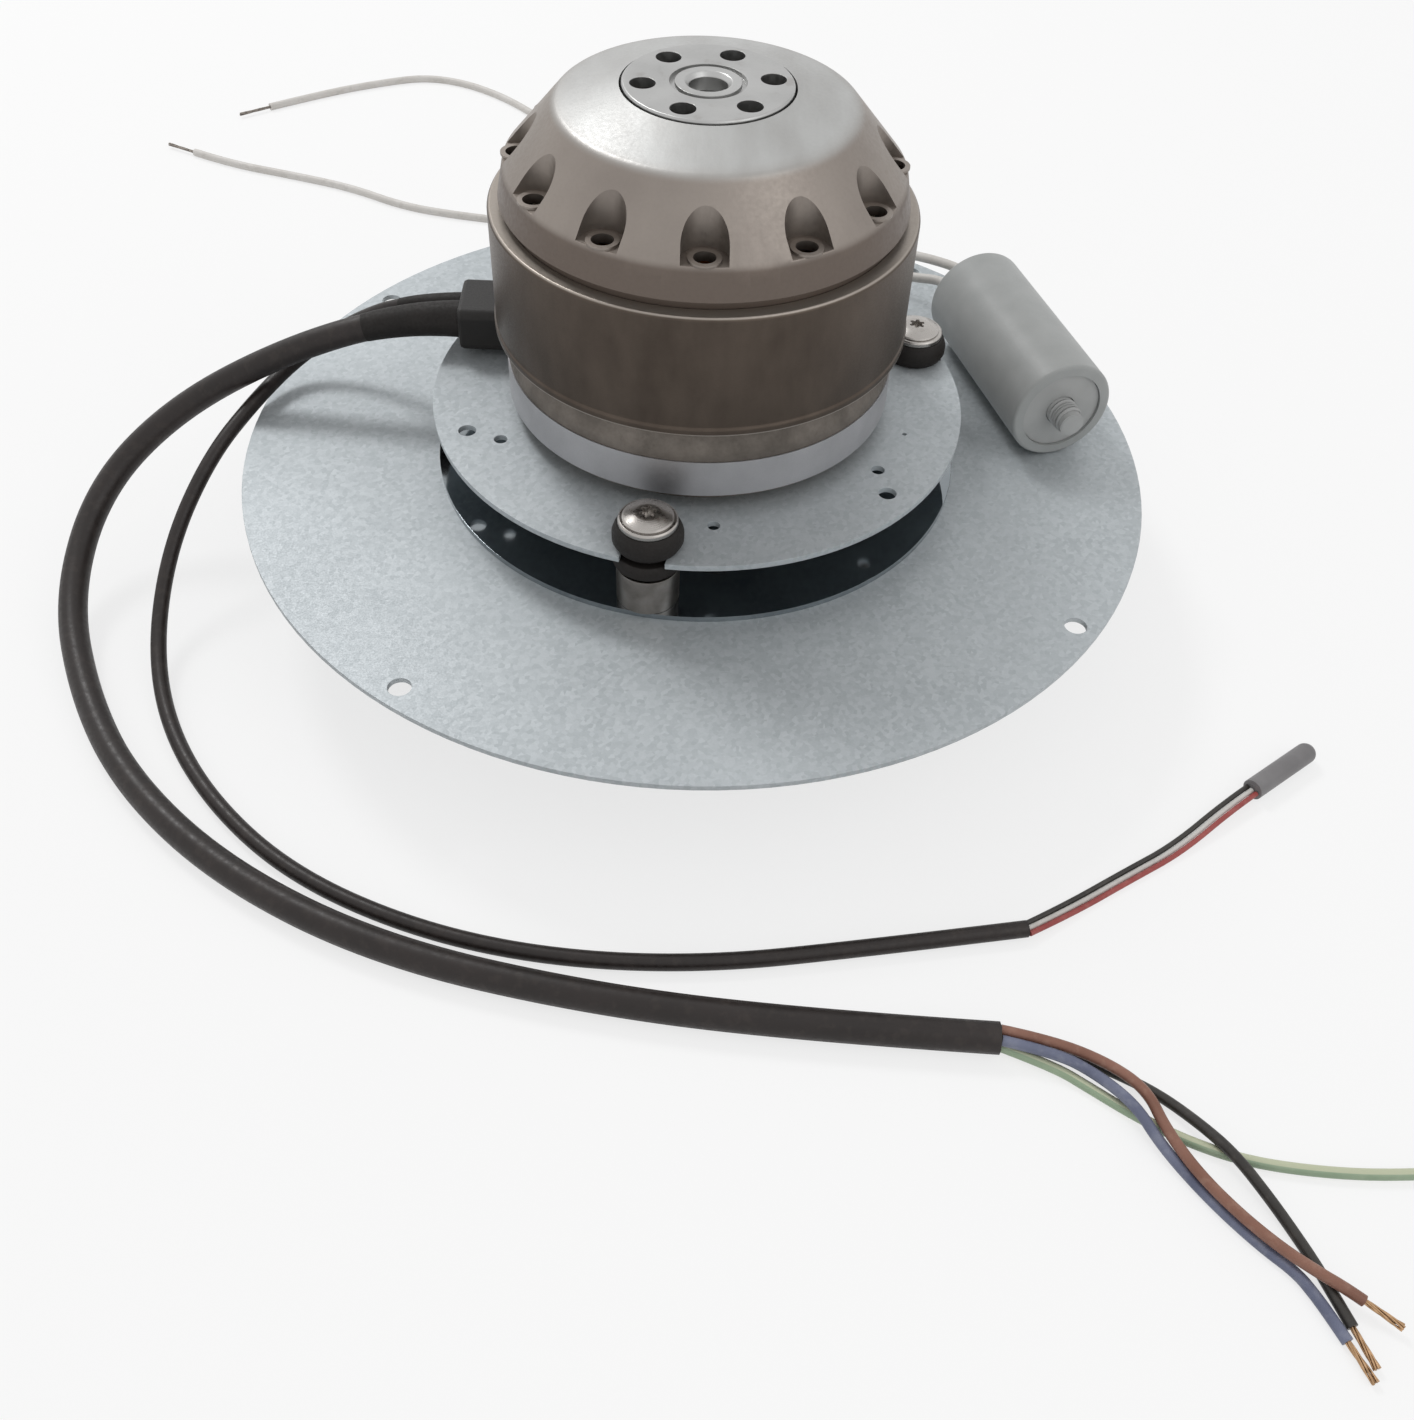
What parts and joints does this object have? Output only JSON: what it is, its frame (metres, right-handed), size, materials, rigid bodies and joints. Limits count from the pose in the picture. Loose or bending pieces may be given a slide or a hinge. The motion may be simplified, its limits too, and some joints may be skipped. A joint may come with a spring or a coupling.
{
  "type": "pellet stove exhaust fan",
  "caption": "Flue-gas fan: external-rotor motor on rubber dampers above a round mounting plate, impeller below, with run capacitor, mains cable and speed-signal cable.",
  "frame": {"origin": "centre of the mounting plate's underside, on the shaft axis, which is also the centre of the plate's four rim holes", "axes": "+Z along the shaft from the impeller towards the motor and its hub; -Y towards the side the picture is taken from, +X to its right"},
  "size_m": [0.3779, 0.5204, 0.1341],
  "materials": {
    "galvanised_steel": "galvanised, fine spangle",
    "polished_steel": "mirror polished",
    "zinc_plated_steel": "satin",
    "stainless_steel": "satin",
    "black_rubber": "matt",
    "cast_aluminium_dark": "cast, dull",
    "cast_aluminium": "die-cast, satin",
    "bare_foil_band": "satin foil, bare",
    "black_plastic": "satin",
    "turned_steel": "turned",
    "spring_steel": "satin",
    "bearing_steel": "ground",
    "lamination_steel": "stacked sheet",
    "insulator_plastic": "matt",
    "copper_winding": "varnished copper wire",
    "circuit_board": "satin",
    "gunmetal_steel": "heat-tinted, patinated",
    "ferrite_magnet": "matt",
    "impeller_steel": "rolled sheet",
    "grey_plastic": "satin",
    "light_grey_plastic": "satin",
    "white_insulation": "satin",
    "tinned_copper": "stranded",
    "black_sheath": "satin",
    "brown_insulation": "satin",
    "black_insulation": "satin",
    "blue_insulation": "satin",
    "green_yellow_insulation": "striped satin",
    "bare_copper": "stranded",
    "red_insulation": "satin",
    "grey_cap_plastic": "satin"
  },
  "bodies": {
    "motor_frame": {"bearing_balls": "bearing_steel", "bearing_outer_rings": "bearing_steel", "bearing_preload_washer": "spring_steel", "bearing_tube": "turned_steel", "black_core": "black_insulation", "blue_core": "blue_insulation", "brown_core": "brown_insulation", "cable_gland": "black_plastic", "capacitor_can": "grey_plastic", "capacitor_lead_bare_ends": "tinned_copper", "capacitor_lead_long": "white_insulation", "capacitor_lead_short": "white_insulation", "capacitor_lid": "light_grey_plastic", "capacitor_stud": "light_grey_plastic", "core_bare_ends": "bare_copper", "damper_cup_washers": "stainless_steel", "damper_grommets": "black_rubber", "damper_nuts": "zinc_plated_steel", "damper_screws": "stainless_steel", "earth_core": "green_yellow_insulation", "flange_screws": "zinc_plated_steel", "heat_shield_disc": "polished_steel", "label_band": "bare_foil_band", "mains_cable": "black_sheath", "motor_plate": "galvanised_steel", "mounting_plate": "galvanised_steel", "sensor_holder": "black_plastic", "sensor_wire_black": "black_insulation", "sensor_wire_red": "red_insulation", "sensor_wire_white": "white_insulation", "signal_cable": "black_sheath", "speed_sensor_board": "circuit_board", "splice_cap": "grey_cap_plastic", "standoff_sleeves": "zinc_plated_steel", "stator_core": "lamination_steel", "stator_flange": "cast_aluminium_dark", "stator_winding": "copper_winding", "winding_end_insulators": "insulator_plastic"},
    "rotor": {"rotor_can": "gunmetal_steel", "rotor_core": "lamination_steel", "rotor_end_ring": "cast_aluminium", "sensor_magnet_ring": "ferrite_magnet", "rotor_dome": "cast_aluminium", "hub_disc": "turned_steel", "rotor_shaft": "turned_steel", "bearing_inner_rings": "bearing_steel", "spacer_sleeve": "turned_steel", "impeller_backplate": "impeller_steel", "impeller_blades": "impeller_steel", "impeller_shroud": "impeller_steel", "impeller_hub": "cast_aluminium", "impeller_rivets": "zinc_plated_steel", "shaft_washer": "zinc_plated_steel", "shaft_nut": "zinc_plated_steel"}
  },
  "joints": [
    {"name": "rotor_spin", "type": "hinge", "parent": "motor_frame", "child": "rotor", "pos_m": [0, 0, 0.05], "axis": [0, 0, 1], "continuous": true}
  ]
}
